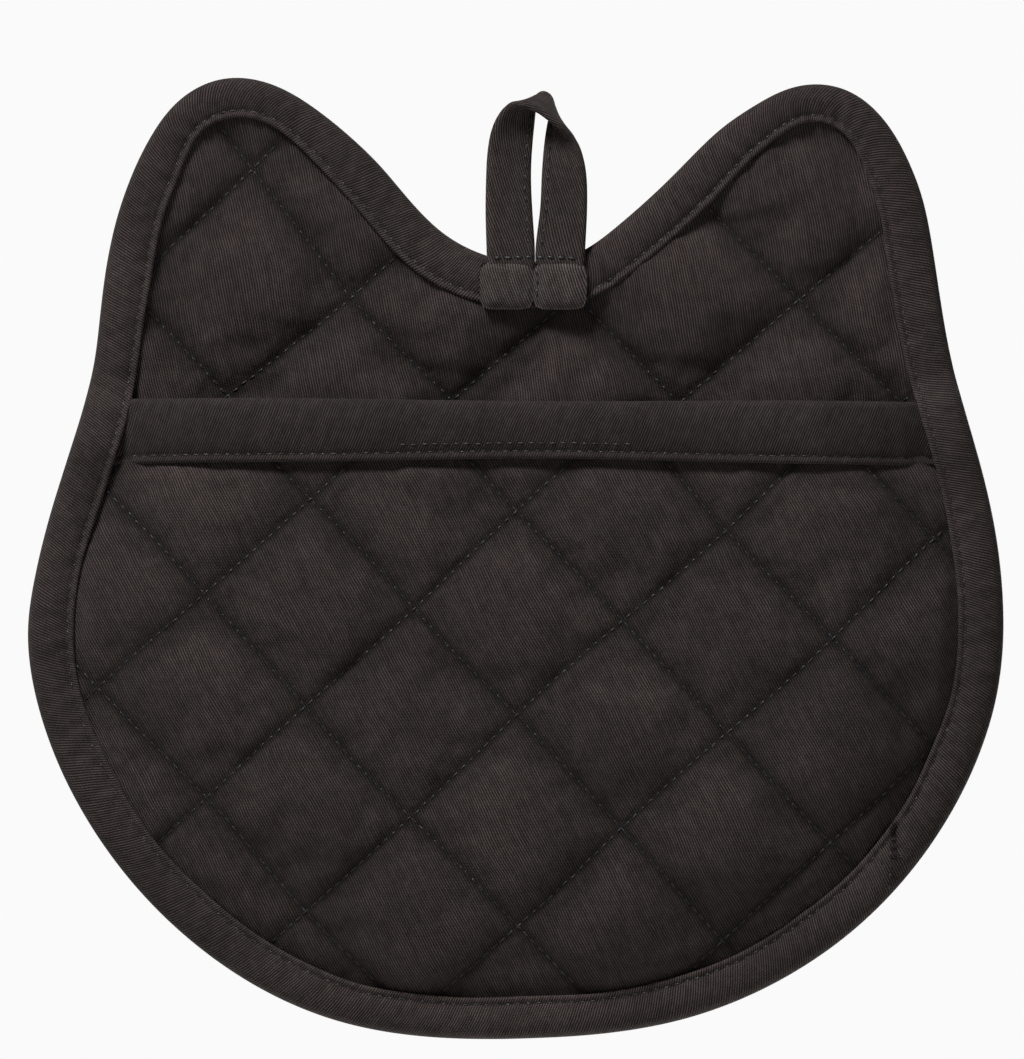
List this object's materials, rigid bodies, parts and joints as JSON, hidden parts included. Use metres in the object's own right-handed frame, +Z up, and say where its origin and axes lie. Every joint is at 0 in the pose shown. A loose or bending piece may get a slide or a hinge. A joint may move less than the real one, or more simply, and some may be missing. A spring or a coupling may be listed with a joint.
{
  "type": "oven mitt",
  "caption": "Flat quilted pocket oven mitt with two rounded ears, a hand pocket, a bias-bound edge and a tape loop to hang it by.",
  "frame": {"origin": "where the hook bears, at the top of the hanging loop's slit, in the middle of the tape", "axes": "+Z up as it hangs, -Y out of the pocket side, +Y out of the plain back, +X to the right seen from the pocket side"},
  "size_m": [0.22, 0.0171, 0.2169],
  "materials": {
    "twill": "charcoal cotton twill, steep ribs, matte with a little lint",
    "lining": "charcoal cotton twill, matte",
    "bias_binding": "charcoal twill cut on the bias, ribs across the strip",
    "loop_tape": "folded charcoal twill tape, a little worn at its folds",
    "wadding": "needled cotton wadding, off-white, unseen",
    "thread": "near-black sewing thread with a faint cool glint"
  },
  "bodies": {
    "loop": {"hanging_loop": "loop_tape", "loop_edge_stitching": "thread"},
    "pad": {"base_front_cover": "twill", "base_wadding": "wadding", "base_rear_cover": "twill", "base_quilting_front": "thread", "base_quilting_rear": "thread", "edge_binding": "bias_binding", "edge_stitching_front": "thread", "edge_stitching_rear": "thread", "loop_end_left": "loop_tape", "loop_end_right": "loop_tape", "loop_tack_stitching": "thread"},
    "pocket": {"pocket_front_cover": "twill", "pocket_wadding": "wadding", "pocket_lining": "lining", "pocket_quilting_front": "thread", "pocket_quilting_inside": "thread", "pocket_top_binding": "bias_binding", "pocket_binding_stitching": "thread"}
  },
  "joints": [
    {"name": "loop_bend", "type": "hinge", "parent": "loop", "child": "pad", "pos_m": [0, 0, -0.0288], "axis": [1, 0, 0], "range_deg": [-90, 90]},
    {"name": "pocket_opening", "type": "hinge", "parent": "pad", "child": "pocket", "pos_m": [0, 0.0017, -0.1983], "axis": [1, 0, 0], "range_deg": [0, 12], "stiffness_Nm_per_rad": 0.6, "springref_deg": -2.86}
  ]
}
